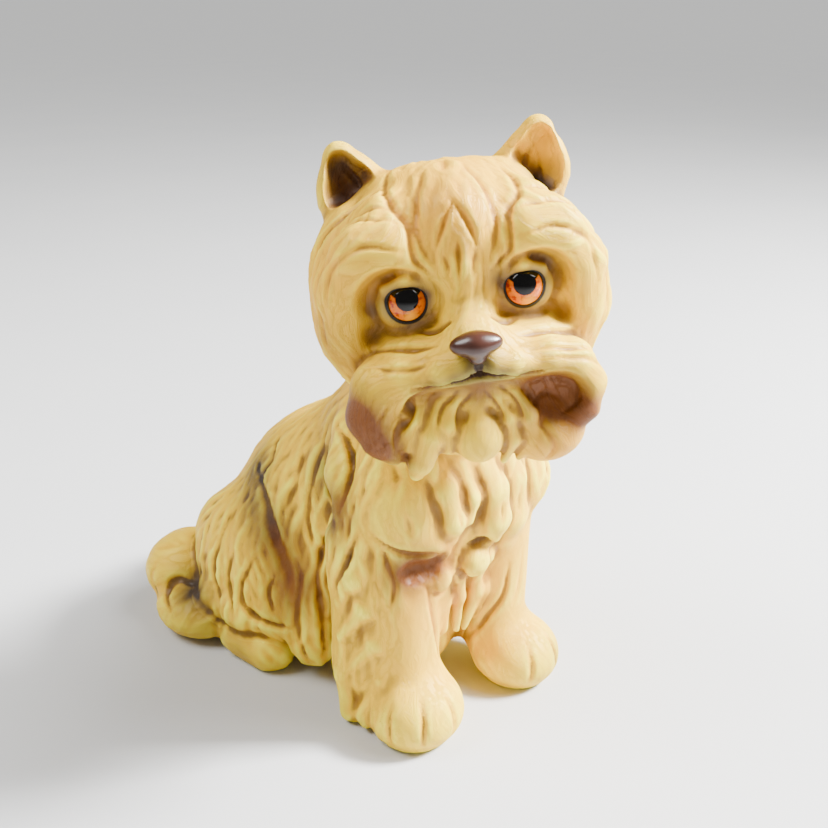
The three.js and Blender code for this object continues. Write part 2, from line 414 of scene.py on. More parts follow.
def castPart(part):
    _, steps, onHead = castings[part]
    lumps = [lump for verb, _, group in steps if verb == "add" for lump in group]
    centres = np.array([c for c, _, _ in lumps])
    reach = np.array([r for _, r, _ in lumps])[:, None] + 2
    corners = np.concatenate([centres - reach, centres + reach])
    if onHead:
        corners = fromHead(boxCorners(corners.min(0), corners.max(0)))
    low, high = corners.min(0), corners.max(0)
    low[2] = max(low[2], -2)  # the clay under the shelf is cut away
    sink = 0 if part in ("torso", "head") else casting["sink"]
    lap, feather = casting["lap"], casting["feather"]

    def field(p):
        mine = own(part, p)
        thin = np.clip((mine - lap + feather) / feather, 0, 1) ** 2
        return np.maximum(whole(p) + sink + casting["dive"] * thin, mine - lap)
    return cast(field, low, high, casting["pitchHead" if onHead else "pitchBody"])


def makeMesh(name, verts, quads):
    mesh = bpy.data.meshes.new(name)
    mesh.vertices.add(len(verts))
    mesh.vertices.foreach_set("co", ((verts + shift) * mm).astype(np.float32).ravel())
    mesh.loops.add(len(quads) * 4)
    mesh.loops.foreach_set("vertex_index", quads.astype(np.int32).ravel())
    mesh.polygons.add(len(quads))
    mesh.polygons.foreach_set("loop_start", np.arange(0, len(quads) * 4, 4, dtype=np.int32))
    mesh.update(calc_edges=True)
    mesh.validate()
    mesh.shade_smooth()
    piece = bpy.data.objects.new(name, mesh)
    bpy.context.scene.collection.objects.link(piece)
    return piece


def colour(code):  # sRGB hex to linear
    parts = [int(code[i:i + 2], 16) / 255 for i in (1, 3, 5)]
    return [c / 12.92 if c < 0.04045 else ((c + 0.055) / 1.055) ** 2.4 for c in parts] + [1.0]


# Hair is laid along the skin as ridges, root to tip. Where the comb has passed, in mm:
# (place, direction, strand length, half width, rise).
bodyComb = mirrored(lambda side: [
    ((side * 5, 8, 77), (side * 0.3, 0.7, -0.6), 14, 2.0, 0.45),
    ((side * 8, 28, 58), (side * 0.45, 0.6, -0.65), 16, 2.1, 0.5),
    ((side * 6, 50, 40), (side * 0.2, 0.35, -0.9), 16, 2.1, 0.5),
    ((side * 19, 22, 52), (side * 0.35, 0.3, -0.9), 18, 2.2, 0.75),
    ((side * 25, 26, 38), (side * 0.1, -0.1, -1), 20, 2.3, 0.9),
    ((side * 27, 18, 24), (0, -0.2, -1), 18, 2.2, 0.9),
    ((side * 26, 44, 28), (side * 0.2, 0.2, -0.95), 18, 2.3, 0.8),
    ((side * 30, 34, 14), (side * 0.45, 0.5, -0.75), 14, 2.1, 0.9),
    ((side * 24, 54, 16), (side * 0.3, 0.6, -0.75), 12, 2.1, 0.7),
    ((side * 23, 12, 14), (0, -0.1, -1), 14, 2.0, 0.9),
    ((side * 10, 68, 18), (side * 0.1, 0.4, -0.9), 14, 2.2, 0.6),
    ((side * 20, -2, 60), (side * 0.2, 0, -1), 16, 2.2, 0.9),
    ((side * 22, 4, 44), (side * 0.1, -0.15, -1), 18, 2.1, 0.9),
    ((side * 10, -24, 56), (0, -0.2, -1), 12, 2.4, 0.35),
    ((side * 5, -16, 26), (0, -0.1, -1), 10, 1.7, 0.3),
    ((side * 26, -6, 30), (side * 0.25, 0.2, -0.95), 14, 1.8, 0.8),
    ((side * 26, -8, 12), (side * 0.45, 0.1, -0.9), 10, 1.7, 0.7),
    ((side * 15, -23, 34), (0, -0.1, -1), 20, 2.2, 0.2),
    ((side * 15, -27, 12), (0, -0.6, -0.8), 12, 2.4, 0.12),
    ((side * 10, -12, 30), (0, 0, -1), 14, 2.0, 0.25),
    ((side * 30, 28, 4), (0, -1, -0.2), 10, 2.2, 0.1),
]) + [
    ((-36, 56, 10), (-0.6, 0.5, -0.5), 10, 2.2, 0.3),
    ((-30, 62, 16), (-0.3, 0.8, -0.2), 10, 2.2, 0.25),
    ((-34, 44, 6), (-0.7, 0.1, -0.5), 10, 2.0, 0.8),
]
headComb = mirrored(lambda side: [
    ((side * 5, 5, 26), (side * -0.1, -1, 0), 14, 2.3, 0.35),
    ((side * 5, -16, 22), (side * 0.1, -0.6, -0.8), 14, 2.3, 0.4),
    ((side * 3, -22, 12), (side * -0.25, -0.2, -0.95), 12, 1.9, 0.35),
    ((side * 12, -12, 19), (side * 0.5, -0.5, -0.6), 14, 2.0, 0.5),
    ((side * 15, -21, 13), (side * 1, 0.1, -0.15), 12, 2.0, 0.12),
    ((side * 22, -14, 8), (side * 0.5, 0.2, -0.85), 16, 2.0, 0.35),
    ((side * 24, -11, -4), (side * -0.2, 0, -1), 12, 2.0, 0.4),
    ((side * 20, -4, 17), (side * 0.75, -0.2, -0.6), 20, 2.1, 0.9),
    ((side * 27, -4, 4), (side * 0.05, -0.2, -1), 22, 2.2, 1.0),
    ((side * 24, -6, -10), (side * -0.35, -0.1, -0.95), 16, 2.0, 0.9),
    ((side * 18, 14, 14), (side * 0.4, 0.5, -0.8), 18, 2.3, 0.6),
    ((side * 16, 20, -2), (side * 0.1, 0.1, -1), 18, 2.4, 0.6),
    ((side * 12, -20, 3), (side * 0.6, 0, -0.8), 8, 1.8, 0.0),
    ((side * 8, -22, -1), (side * 0.9, 0.2, -0.3), 12, 1.9, 0.3),
    ((side * 3, -24, 0), (side * 0.4, -0.6, -0.5), 8, 1.6, 0.12),
    ((side * 13, -22, -7), (side * 0.9, 0.2, -0.4), 14, 1.9, 0.4),
    ((side * 4, -28, -7), (side * 0.9, 0.3, -0.3), 8, 1.5, 0.05),
    ((side * 20, -20, -14), (side * 0.4, 0.1, -0.9), 14, 2.0, 0.3),
    ((side * 8, -22, -20), (side * 0.1, -0.1, -1), 10, 1.7, 0.3),
    ((side * 18, 0, 25), (side * 0.1, -0.2, 1), 8, 1.6, 0.15),
])

hair = {
    "seedGap": 2.9,  # mm between roots
    "stops": 13,  # points along a strand
    "length": 2.0,  # times the comb's length
    "width": 0.8,
    "rise": 1.5,
    "wave": 0.5,  # radians either side of the comb's direction
    "waveLength": 20.0,  # mm
    "soft": 0.3,  # mm over which crossing strands melt together
    "settle": 0.35,  # mm taken off the skin before the hair stands up
    "drift": [0.16, 0.11, 0.05],  # radians by which the wave moves on for each mm along x, y and z
    "stray": 0.5,  # radians of chance in where the wave starts
    "lengths": (0.8, 1.3), "widths": (0.6, 1.35), "rises": (0.6, 1.2),  # least and most, by chance
    "thick": 2.5,  # mm off a line's own level at which it no longer marks the skin
    "smoothEdge": 1.6,  # more gives the smooth places a harder edge
    "blur": 0.6,  # share of a point's height that comes from its neighbours
}

# Where the casting is smooth: (place, radius in mm, how smooth, whether in the head's frame).
smooth = [
    ((-15, -22, 38), 8, 0.9, False), ((-15, -22, 28), 9, 0.9, False), ((-15, -22, 18), 9, 0.9, False),
    ((14, -20, 34), 12, 0.85, False), ((13, -20, 22), 11, 0.85, False), ((-18, -17, 53), 10, 0.9, False),
    ((-6, -22, 50), 14, 0.9, False), ((6, -21, 44), 12, 0.9, False), ((-4, -18, 30), 12, 0.9, False),
    ((-24, -10, 24), 12, 0.6, False), ((-24, -10, 10), 10, 0.6, False), ((-30, 60, 13), 16, 0.8, False),
    ((-34, 46, 6), 12, 0.6, False), ((0, 40, 66), 20, 0.3, False),
    ((-19, -20, -17), 11, 0.95, True), ((12, -20, -25), 11, 0.95, True), ((17, -22, -15), 11, 0.9, True),
    ((0, -23, -20), 13, 0.95, True), ((-10, -22, -24), 9, 0.95, True), ((0, -28, -7), 11, 0.9, True),
    *mirrored(lambda side: [
        ((side * 15.5, -24, 7), 15, 0.95, False), ((side * 28, 27, 4), 10, 0.95, False),
        ((side * 12.5, -18, 2), 10, 0.97, True), ((side * 18.5, 2, 27), 10, 0.9, True),
        ((side * 13, -22, 12), 7, 0.7, True), ((side * 12, -22, -8), 9, 0.6, True),
    ]),
]


def asComb(comb, onHead):
    places = np.array([row[0] for row in comb], float)
    ways = np.array([row[1] for row in comb], float)
    ways /= np.linalg.norm(ways, axis=1, keepdims=True)
    if onHead:
        places, ways = fromHead(places), ways @ headTurn.T
    return places, np.concatenate([ways, np.array([row[2:] for row in comb], float)], axis=1)


combBlend = 2  # mm over which one pass of the comb gives way to the next


def comb(points, places, values):
    weight = 1 / (((points[:, None] - places[None]) ** 2).sum(2) + combBlend**2) ** 2
    return (weight @ values) / weight.sum(1, keepdims=True)


def flat(ways, normals):
    ways = ways - (ways * normals).sum(1, keepdims=True) * normals
    return ways / (np.linalg.norm(ways, axis=1, keepdims=True) + 1e-9)


def growStrands(seeds, places, values):
    p = seeds.copy()
    paths = [p]
    phase = p @ hair["drift"] + rng.normal(0, hair["stray"], len(p))
    look = comb(p, places, values)
    stride = look[:, 3] / hair["stops"] * rng.uniform(*hair["lengths"], len(p)) * hair["length"]
    for stop in range(hair["stops"]):
        normals = slope(whole, p)
        way = flat(comb(p, places, values)[:, :3], normals)
        bend = hair["wave"] * np.sin(phase + stop * stride * 2 * math.pi / hair["waveLength"])
        way = way * np.cos(bend)[:, None] + np.cross(normals, way) * np.sin(bend)[:, None]
        p = p + way * stride[:, None]
        p = p - whole(p)[:, None] * normals
        paths.append(p)
    paths = np.stack(paths, axis=1)
    width = look[:, 4] * rng.uniform(*hair["widths"], len(p)) * hair["width"]
    rise = look[:, 5] * rng.uniform(*hair["rises"], len(p)) * hair["rise"]
    return [(path, w, r, "lock") for path, w, r in zip(paths, width, rise)]


def through(stops, perSpan=6):  # a smooth line through the stops
    q = np.array(stops, float)
    q = np.concatenate([2 * q[:1] - q[1:2], q, 2 * q[-1:] - q[-2:-1]])
    t = np.arange(perSpan)[:, None] / perSpan
    spans = [0.5 * (2 * b + (c - a) * t + (2 * a - 5 * b + 4 * c - d) * t**2 + (3 * b - a - 3 * c + d) * t**3)
             for a, b, c, d in zip(q, q[1:], q[2:], q[3:])]
    return np.concatenate([*spans, q[-2:-1]])


def laid(stops, onHead):  # a line drawn on the skin
    p = through(stops)
    if onHead:
        p = fromHead(p)
    for _ in range(3):
        p = p - whole(p)[:, None] * slope(whole, p)
    return p


def pickSeeds(points, gap):
    points = points[rng.permutation(len(points))]
    kept, cells = [], {}
    for p in points:
        cell = tuple(np.floor(p / gap).astype(int))
        around = [cells.get((cell[0] + i, cell[1] + j, cell[2] + k)) for i in (-1, 0, 1) for j in (-1, 0, 1)
                  for k in (-1, 0, 1)]
        if all(q is None or ((p - q) ** 2).sum() > gap * gap for q in around):
            cells[cell] = p
            kept.append(p)
    return np.array(kept)


# The height each point gains, and its place across and along its strand.
def lay(points, normals, strands):
    order = np.argsort(points[:, 2])
    p, n = points[order], normals[order]
    z = p[:, 2]
    height = np.zeros(len(p))
    dent = np.zeros(len(p))
    flow = np.zeros((len(p), 3))
    for number, (path, halfWidth, rise, kind) in enumerate(strands):
        low, high = path.min(0) - halfWidth - 0.5, path.max(0) + halfWidth + 0.5
        first, last = np.searchsorted(z, (low[2], high[2]))  # the points are sorted by height
        block = p[first:last]
        inside = ((block[:, :2] > low[:2]) & (block[:, :2] < high[:2])).all(1)
        near = np.nonzero(inside)[0] + first
        if not len(near):
            continue
        a = path[:-1]
        ab = path[1:] - a
        length2 = (ab**2).sum(1) + 1e-9
        d = p[near][:, None] - a[None]
        t = np.clip((d * ab[None]).sum(2) / length2, 0, 1)
        off = d - t[:, :, None] * ab[None]
        best = (off**2).sum(2).argmin(1)
        rows = np.arange(len(near))
        off, t = off[rows, best], t[rows, best]
        nn = n[near]
        out = (off * nn).sum(1)
        plane = off - out[:, None] * nn
        side = np.cross(nn, ab[best])
        across = np.sign((plane * side).sum(1)) * np.sqrt((plane**2).sum(1))
        share = (best + t) / len(a)
        if kind == "lock":  # thin at both ends, thickest past the middle
            width = halfWidth * (0.5 + 0.5 * np.sin(np.pi * np.clip(share, 0.02, 0.98)))
            lift = rise * np.sin(np.pi * np.clip(share, 0.02, 0.98) ** 1.2) ** 0.8
        else:
            width = halfWidth * (0.35 + 0.65 * np.sin(np.pi * np.clip(share, 0.06, 0.94)))
            lift = rise * np.sin(np.pi * np.clip(share, 0.04, 0.96)) ** 0.6
        s = across / (width + 1e-6)
        ok = (np.abs(s) < 1) & (np.abs(out) < hair["thick"])
        if not ok.any():
            continue
        near, s, lift, share, across = near[ok], s[ok], lift[ok], share[ok], across[ok]
        if kind == "groove":  # cut in, the deepest line wins
            dent[near] = np.maximum(dent[near], lift * (1 - s * s) ** 1.5)
            continue
        ridge = lift * (1 - s * s) * (1 + 0.12 * np.cos(8 * s + number))
        was = height[near]
        top = ridge > was
        melt = hair["soft"] / 2
        height[near] = 0.5 * (was + ridge + np.sqrt((was - ridge) ** 2 + melt**2)) - melt / 2
        flow[near[top]] = np.stack([across, share * len(a) * math.sqrt(length2.mean()),
                                    np.full(len(across), number % 97)], axis=1)[top]
    back = np.argsort(order)
    return (height - dent)[back], flow[back]


# Grooves drawn on the flank: (stops on the skin, half width, depth), in mm.
flank = [
    ([(-19.4, 34, 47.5), (-24, 25, 43), (-25.8, 20.7, 38), (-26.4, 15.8, 32.7), (-26.6, 12.3, 27),
      (-27.4, 11.4, 21)], 2.4, 1.4),
    ([(-24.8, 12.3, 32.7), (-25.3, 10.1, 27), (-27, 10.4, 19.9), (-27, 9.9, 12), (-25, 9.5, 4)], 1.6, 1.1),
    ([(-22.4, 7.6, 32), (-23, 6, 24), (-22.4, 5.4, 14), (-21, 7, 5)], 1.6, 1.0),
    ([(-24.4, -1, 49.4), (-22, 3, 43), (-21.4, 7, 36.6), (-22, 7.4, 30.5)], 1.8, 1.3),
    ([(-17, 9, 59), (-19, 7.6, 52.6), (-20.4, 5, 48.6), (-23, -0.4, 48.6)], 1.3, 1.3),
    ([(-17, 3, 66), (-18.6, -1, 62), (-21.4, -5.6, 57), (-24, -4.6, 51)], 1.3, 1.2),
    ([(-26.7, 35.4, 37), (-30.2, 35.2, 29.5), (-31.8, 35.9, 21.7), (-31.9, 32, 14)], 1.3, 0.9),
    ([(-28.9, 22.2, 30.9), (-31.1, 25.3, 22.5), (-31.3, 22.9, 17), (-30.1, 15, 15.4), (-28, 11.4, 16)],
     1.4, 1.2),
    ([(-28, 16.4, 28.8), (-30, 17.4, 23), (-30.1, 15.5, 18.6)], 1.1, 0.9),
    ([(-30.6, 29, 30), (-32, 30, 22), (-31.6, 26.5, 14.6)], 1.1, 0.8),
    ([(-29.1, 46.4, 26.4), (-29.7, 48.3, 17.3), (-30.6, 44.3, 12.8)], 1.5, 0.9),
    ([(-16.7, 18.6, 57), (-20.2, 16.7, 50.4), (-23.2, 18.1, 43.3), (-25.3, 17.6, 37.5)], 1.0, 0.6),
    ([(-14.1, 31.3, 54.5), (-19.3, 28.4, 50.2), (-21.6, 31.6, 45.5)], 1.2, 0.7),
    ([(-15.4, 11.4, 64.3), (-17.8, 10.9, 58), (-20, 12.1, 49.5), (-21.8, 11.3, 42.2), (-22.4, 9.4, 36.5)],
     1.1, 0.8),
    ([(-25.7, -10.8, 48.5), (-26.9, -8.5, 42), (-27.2, -4.6, 34)], 1.2, 0.9),
    ([(-23.6, -9.6, 57), (-25.4, -8.6, 51), (-26.6, -7.6, 45)], 1.0, 0.7),
]
bodyGrooves = [([(side * x, y, z) for x, y, z in stops], width, depth)  # the same on both flanks
               for side in (1, -1) for stops, width, depth in flank]
bodyGrooves += [
    # round the pads and balls of hair on the chest
    ([(-24, -14.6, 50.4), (-22, -18.6, 47), (-18.6, -21.4, 45), (-14.6, -22.4, 44.6), (-11.6, -22.6, 42)],
     1.2, 1.1),
    ([(-14.4, -20, 62), (-13.4, -22, 55), (-12, -23, 48.6)], 1.4, 0.45),
    ([(-7.4, -22, 60), (-6.8, -24, 54), (-6.8, -24, 48)], 1.3, 0.3),
    ([(-3.4, -22.6, 61), (-2.4, -24.8, 54.4), (-3, -24.8, 48), (-1.6, -24, 43.6)], 1.3, 0.35),
    ([(5, -22.6, 60), (5.6, -24, 52), (6.2, -23.6, 46), (5.6, -22, 40)], 1.3, 0.5),
    ([(12.6, -20, 61), (14.6, -20.6, 52), (14.4, -20.4, 44)], 1.3, 0.6),
    ([(-20.6, -20, 56), (-19.6, -21.4, 50)], 1.2, 0.4),
    ([(-9.6, -24.4, 54), (-9, -24.8, 49)], 0.8, 0.4),
    ([(1.6, -26, 53), (2, -26, 47)], 0.9, 0.4),
    ([(9.6, -23.4, 54), (10, -23.4, 45)], 1.0, 0.4),
    ([(-13.4, -20.8, 37.6), (-12.6, -20.8, 34), (-9.8, -20.8, 33), (-7.2, -20.8, 35)], 0.9, 0.9),
    ([(-5.6, -22.4, 42), (-6.4, -21.6, 38), (-4.4, -21.2, 33.8), (-0.6, -21, 33), (3, -20.6, 35.6)],
     1.0, 1.0),
    ([(-5, -22.8, 42.6), (-1.4, -23.6, 43), (3, -22.4, 42)], 0.9, 0.9),
    ([(-23.2, -16.4, 48.4), (-23, -17, 43.6), (-22, -18.4, 38), (-22.4, -17, 32)], 1.0, 0.9),
    ([(-16.5, -21.4, 40), (-13.7, -21.6, 32.5), (-11, -20.4, 22), (-9.4, -18, 14)], 1.0, 0.7),
    ([(11.5, -20.1, 31.5), (9.9, -19.8, 23.6), (7, -17.3, 18), (5.8, -12, 10)], 1.1, 0.8),
    ([(16, -20, 34), (15, -20, 26), (12, -20, 19)], 1.0, 0.4),
    ([(-39, 47, 9), (-37.6, 53, 11.4), (-34, 52.4, 13.4), (-31.6, 47.6, 15)], 1.6, 1.0),
    ([(-38.6, 56, 6), (-37, 60, 10), (-33, 60, 15)], 1.3, 0.35),
    ([(-19.5, -24, 13.4), (-21.6, -27, 8), (-21.8, -27.2, 2.6)], 1.0, 0.6),
    ([(-14.6, -26, 13.6), (-14.2, -29.5, 8), (-14.2, -29.2, 2.6)], 1.0, 0.5),
    ([(-23.8, -20, 11), (-25.4, -21, 6.6), (-25, -21, 2.6)], 1.1, 0.7),
    ([(-9.6, -23, 12), (-7.4, -25.4, 7), (-7.6, -25.4, 2.6)], 1.0, 0.4),
    ([(12.4, -25, 13.4), (10.8, -28.6, 8), (10.6, -28.4, 2.6)], 1.0, 0.55),
    ([(18.4, -25, 13.4), (19.2, -28.6, 8), (19.4, -28.2, 2.6)], 1.0, 0.55),
]
headGrooves = [
    # the edges of the forehead's lock, and the partings in it
    ([(-9.5, 2.8, 25), (-11.7, -10.5, 21.3), (-9.9, -19, 15.3), (-8, -21.4, 11), (-5.6, -21.6, 8)],
     1.2, 0.85),
    ([(9.4, -3.8, 25), (11.6, -13.6, 19), (9.8, -19.4, 14.9), (8, -21.2, 10.6), (5, -21.6, 7.6)], 1.2, 0.85),
    ([(-0.4, -20, 20.7), (-3.1, -22, 16.9), (-4.6, -22.2, 13.4)], 0.9, 0.8),
    ([(-0.4, -20, 20.7), (1.7, -22.3, 16.9), (2.8, -22.9, 13)], 0.9, 0.8),
    ([(-0.6, -23, 14.4), (-0.9, -23, 11), (-1.1, -22.3, 6.6)], 0.9, 0.7),
    ([(-3.9, -22.6, 12.4), (-2.8, -22.4, 8)], 0.7, 0.5),
    ([(2.6, -22.6, 12), (1.4, -22.4, 7.6)], 0.7, 0.5),
    ([(-4.3, -8.4, 26.2), (-6.6, -16.9, 21.2), (-7.6, -20, 16), (-5.6, -22, 10.6)], 1.1, 0.7),
    ([(3, -9, 26.4), (5.4, -17, 21.4), (6.6, -20.6, 16), (4.8, -22, 10)], 1.1, 0.7),
    ([(0, -4, 27), (-1, -12, 25)], 1.2, 0.5),
    # over the right brow and down the cheek
    ([(-10.4, -15.6, 19), (-15.6, -12.6, 18), (-21.4, -12, 15.4), (-25, -11.8, 10.4), (-26.4, -11, 3),
      (-25, -10, -6)],
     1.3, 0.65),
    ([(-10.4, -18.6, 16), (-16, -16, 16), (-21, -14.6, 12.8), (-24.6, -13.6, 7), (-25.4, -12.4, -1),
      (-23, -11, -8)],
     1.1, 0.55),
    ([(-12, -7, 22), (-18, -7, 19.4), (-24, -6, 14), (-27.4, -5, 6), (-27.4, -5, -4)], 1.4, 0.9),
    ([(-10.6, -21, 13.6), (-16, -19.8, 14.4), (-21.6, -16.8, 11), (-24, -14.6, 4)], 0.9, 0.5),
    # over the left brow and down the cheek
    ([(10, -18.8, 16), (14.4, -17.6, 16), (19.6, -16, 14), (23.8, -14, 9), (25.8, -12, 1), (24, -11, -7)],
     1.3, 0.65),
    ([(11.4, -15, 19.4), (17, -12.4, 18.4), (22.6, -11, 14.6), (26.4, -9.6, 8), (27.4, -8, -1)], 1.2, 0.6),
    ([(12, -7, 22), (18, -7, 19.4), (24, -6, 14.6), (27.6, -4, 6)], 1.3, 0.8),
    ([(10.6, -21, 13.6), (16, -20, 14), (21, -17, 10.6), (23.6, -14.6, 3)], 0.9, 0.5),
    # wrinkles on the muzzle
    ([(-9, -18, -2.6), (-6.2, -21, -0.6), (-3, -23, 0.6)], 1.0, 0.7),
    ([(-16.6, -15, -6.6), (-11, -20, -5), (-6.4, -23.6, -3.6)], 1.1, 0.7),
    ([(8.6, -18, -2.8), (6, -21, -1), (3, -23, 0.4)], 1.0, 0.7),
    ([(20, -14, -8.4), (14, -18.4, -5.8), (8, -22.6, -4)], 1.1, 0.7),
    ([(-18, -20, -7.8), (-13, -23, -7.6), (-9, -25, -6.4)], 1.0, 0.5),
    ([(22, -19, -10), (17, -22.6, -7.6), (10.6, -24.4, -6)], 1.0, 0.5),
    ([(24, -20, -12), (19.6, -23, -9.6), (13, -24.8, -8)], 0.9, 0.4),
    # the mouth
    ([(-12, -23.6, -10.4), (-7.6, -26, -11.2), (-3.6, -28, -10.6), (0, -29, -9.4), (3.6, -28, -10.6),
      (7.6, -26, -11.2), (11.6, -24.6, -10.6)], 0.85, 2),
    ([(0, -29.4, -5.6), (0, -29.6, -10)], 0.7, 0.9),
    # where the moustache parts from the beard
    ([(-9.4, -24.6, -11.8), (-12, -25, -14), (-15, -24, -18.4), (-16, -22, -24)], 1.2, 0.9),
    ([(-1.2, -25, -12.6), (-3.6, -24.6, -15.6), (-4.6, -24, -20)], 0.8, 0.6),
    ([(1, -25, -12.6), (2.6, -24.6, -15.6), (3.6, -24, -19)], 0.8, 0.6),
    ([(-4, -25, -12.4), (-7, -24, -15), (-8.4, -23.6, -19)], 0.8, 0.6),
    ([(4, -25, -12.4), (6.4, -24, -15.6), (7.4, -23.4, -20)], 0.8, 0.6),
    ([(-19, -23, -12), (-21.6, -21.6, -17), (-19.6, -20.4, -23)], 0.8, 0.35),
    ([(-16, -24, -12.6), (-18.6, -23, -17), (-17.8, -21.4, -22.6)], 0.8, 0.4),
    ([(9, -23, -14), (13, -21.6, -13.6), (17, -20.6, -14.6), (18, -20.4, -18), (15, -20.6, -20)], 1.0, 0.7),
    ([(10, -22.4, -17), (13, -21, -16), (15.4, -20.4, -17.6)], 0.8, 0.5),
    ([(10.6, -21.6, -21), (13, -22, -26), (11, -19.6, -30)], 1.0, 0.6),
    # inside the ears
    ([(14.6, 2, 18.6), (16.4, 3, 23.6), (19, 3, 28)], 0.9, 0.4),
    ([(18.4, 2, 18), (19, 3, 23)], 0.9, 0.4),
    ([(-14.6, 2, 18.6), (-16.4, 3, 23.6), (-19, 3, 28)], 0.9, 0.7),
    ([(-18.4, 2, 18), (-19, 3, 23)], 0.9, 0.7),
]


def spreader(quads, count):  # a function that gives each point the mean of its neighbours
    ends = np.concatenate([quads[:, [i, (i + 1) % 4]] for i in range(4)])
    many = np.bincount(ends.ravel(), minlength=count).astype(float)

    def spread(values):
        sums = [np.bincount(ends[:, 0], column[ends[:, 1]], count) + np.bincount(ends[:, 1],
                                                                                 column[ends[:, 0]], count)
                for column in values.T]
        return np.stack(sums, axis=1) / many[:, None]
    return spread


def cavity(verts, normals, spread):  # how hollow (+) or proud (-) the skin is at each point, in mm
    wide = verts
    for _ in range(4):
        wide = spread(wide)
    hollow = ((wide - verts) * normals).sum(1, keepdims=True)
    for _ in range(2):
        hollow = 0.5 * hollow + 0.5 * spread(hollow)
    return hollow[:, 0]


# Enamel sprayed on by hand, with painted shade in a few hollows, for each stain: (place, radius in mm,
# strength, whether in the head's frame).
airbrushAndShade = {
    "peach": [
        ((0, -6, 25), 15, 0.45, True), ((-3, -19, 19), 10, 0.6, True), ((3, -20, 17), 8, 0.3, True),
        ((-22, -14, 12), 10, 0.5, True), ((-26, -6, 2), 12, 0.5, True), ((20, -12, 16), 8, 0.35, True),
        ((27, -6, 4), 9, 0.3, True), ((14, -21, -28), 7, 0.8, True), ((21, -21, -22), 6, 0.8, True),
        ((-15, -22, 38), 8, 0.8, False), ((-13, -23, 28), 9, 0.4, False), ((12, -18, 38), 9, 0.35, False),
        ((10, -19, 28), 8, 0.35, False), ((-11, -22, 44), 5, 0.6, False), ((-4, -17, 26), 9, 0.6, False),
        ((-8, 14, 74), 14, 0.25, False),
    ],
    "umber": [
        ((-23, -21.4, -16), 7.6, 1.0, True), ((-20.4, -21.4, -22.6), 5.4, 1.0, True),
        # brown where the moustache parts, then painted shadow under the lower lip
        ((-9.8, -24.4, -12.6), 3.4, 0.6, True), ((0, -25.6, -12.6), 4, 0.5, True),
        ((14, -20.6, -16.6), 7.4, 1.0, True), ((19.6, -21.4, -21), 4.4, 0.9, True),
        ((9.8, -23, -13), 3, 0.6, True),
        ((-18, 2.6, 22.6), 6, 0.35, True), ((-25, -12, -2), 6, 0.3, True),
        ((-15, -20, -25.6), 3, 0.4, True),
        # painted shadow under the pads of hair on the chest
        ((-17.6, -18.6, 41), 6.4, 1.0, False), ((-12, -20, 40.6), 3.6, 0.8, False),
        ((-26, 12, 26), 8, 0.6, False), ((-24, 18, 34), 7, 0.5, False),
        ((-23, -4, 52), 6, 0.6, False), ((-16, 3, 24), 6, 0.3, False), ((-30, 14, 18), 6, 0.4, False),
    ],
    "slate": [
        ((-16.6, -15, 2.8), 3.2, 0.5, True), ((-17.6, -14.6, -1.6), 3, 0.3, True),
        ((14.6, -15.6, 7.6), 3.6, 0.5, True),
        ((6.2, -20, 6.2), 3, 0.7, True), ((-7, -19.4, 6), 2.6, 0.4, True), ((17, 1.4, 19), 6, 0.9, True),
        ((-17, 2.6, 19.4), 6, 1.0, True), ((-19, 3, 26), 4.6, 0.9, True),
        # round the mouth: grey-brown enamel, with painted shade under the nose and under the lower lip
        ((0, -29.4, -8.6), 5, 1.0, True), ((0, -26, -12), 4, 0.5, True),
        *mirrored(lambda side: [((side * 4, -27.6, -10), 3, 0.9, True),
                                ((side * 8, -25.8, -10.4), 2.6, 0.8, True)]),
        ((0, -29, -6.6), 3.4, 0.8, True),
        ((-20, 33, 46), 8, 0.8, False), ((-24, 28, 40), 6, 0.6, False), ((-25.6, 20, 37), 7, 0.8, False),
        ((-26, 12, 28), 6, 0.7, False),
        ((-19, 7, 54), 8, 0.7, False), ((-23, -1, 48.6), 6, 0.9, False), ((-32.6, 46, 13.6), 8, 0.9, False),
        ((-34, 37, 8), 8, 0.4, False), ((20, -28, 7), 6, 0.4, False), ((-15, 12, 66), 9, 0.3, False),
        ((-33, 27, 4), 5, 0.3, False),
    ],
}


sprayEdge = 1.3  # more gives the sprayed spots a harder edge


def sprayedAndShaded(points, stain):
    value = np.zeros(len(points))
    headPoints = toHead(points)
    for place, radius, strength, onHead in airbrushAndShade[stain]:
        d2 = (((headPoints if onHead else points) - np.array(place)) ** 2).sum(1)
        value = value + (1 - value) * strength * np.exp(-sprayEdge * d2 / radius**2)
    return value


def keep(mesh, name, kind, values):
    layer = mesh.attributes.new(name, kind, "POINT")
    layer.data.foreach_set("vector" if kind == "FLOAT_VECTOR" else "value", values.astype(np.float32).ravel())


def startMaterial(name):
    material = bpy.data.materials.new(name)
    material.use_nodes = True
    return material.node_tree, material


def add(tree, kind, inputs=(), **settings):
    made = tree.nodes.new(kind)
    for key, value in settings.items():
        setattr(made, key, value)
    for key, value in dict(inputs).items():
        if isinstance(value, bpy.types.NodeSocket):
            tree.links.new(value, made.inputs[key])
        else:
            made.inputs[key].default_value = value
    return made


bisqueLook = {
    "clay": ("#f3c60c", "#e4ac08"),  # the ground colour, between these two
    "cloud": 9.1,  # mm across the soft patches of the ground colour
    "brushLine": 0.31,  # mm across one hair's mark; a real brush is finer, and this is as fine as shows
    "brushStroke": 4.0,  # mm along it
    "brushDepth": 0.2,  # mm
    "thin": 0.9, "pooled": 1.5,  # how much of the slate stain ridges and grooves take
    "roughness": 0.52,
}
